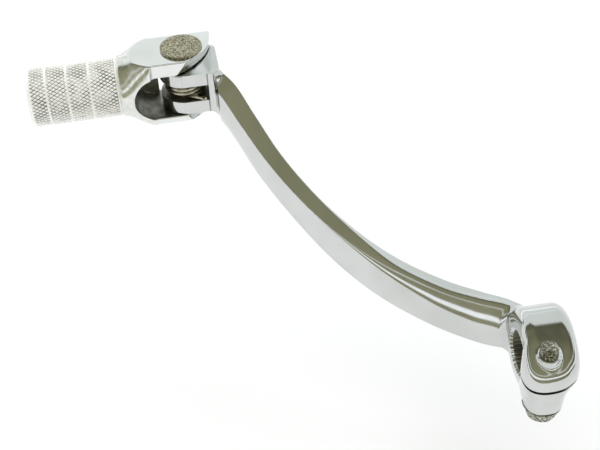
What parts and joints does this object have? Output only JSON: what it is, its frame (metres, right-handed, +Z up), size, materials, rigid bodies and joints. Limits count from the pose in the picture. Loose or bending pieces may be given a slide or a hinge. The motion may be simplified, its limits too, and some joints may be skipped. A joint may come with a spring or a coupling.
{
  "type": "gear shift lever",
  "caption": "Motorcycle gear shift lever: a forged arm with a serrated clamp hub and a spring-return folding tip with a knurled peg.",
  "frame": {"origin": "on the spindle bore's axis, level with the pinch bolt's axis", "axes": "+X forward from the spindle to the tip, +Y outward along the bore's axis and the peg, +Z up along the pinch bolt and the fold pin"},
  "size_m": [0.1104, 0.1358, 0.0676],
  "materials": {
    "polished_aluminium": "mirror polished",
    "bright_aluminium": "bright machined and diamond knurled",
    "rivet_steel": "blackened, speckled",
    "spring_steel": "bronze-grey drawn wire",
    "bolt_steel": "dark plated, speckled"
  },
  "bodies": {
    "lever": {"lever_arm": "polished_aluminium", "return_spring": "spring_steel", "pinch_bolt": "bolt_steel"},
    "tip": {"toe_piece": "bright_aluminium", "pivot_pin": "rivet_steel"}
  },
  "joints": [
    {"name": "tip_fold", "type": "hinge", "parent": "lever", "child": "tip", "pos_m": [0.0865, 0.082, 0.0416], "axis": [0, 0, 1], "range_deg": [0, 80], "stiffness_Nm_per_rad": 0.4, "springref_deg": -28.65, "deforming": ["return_spring"]}
  ]
}
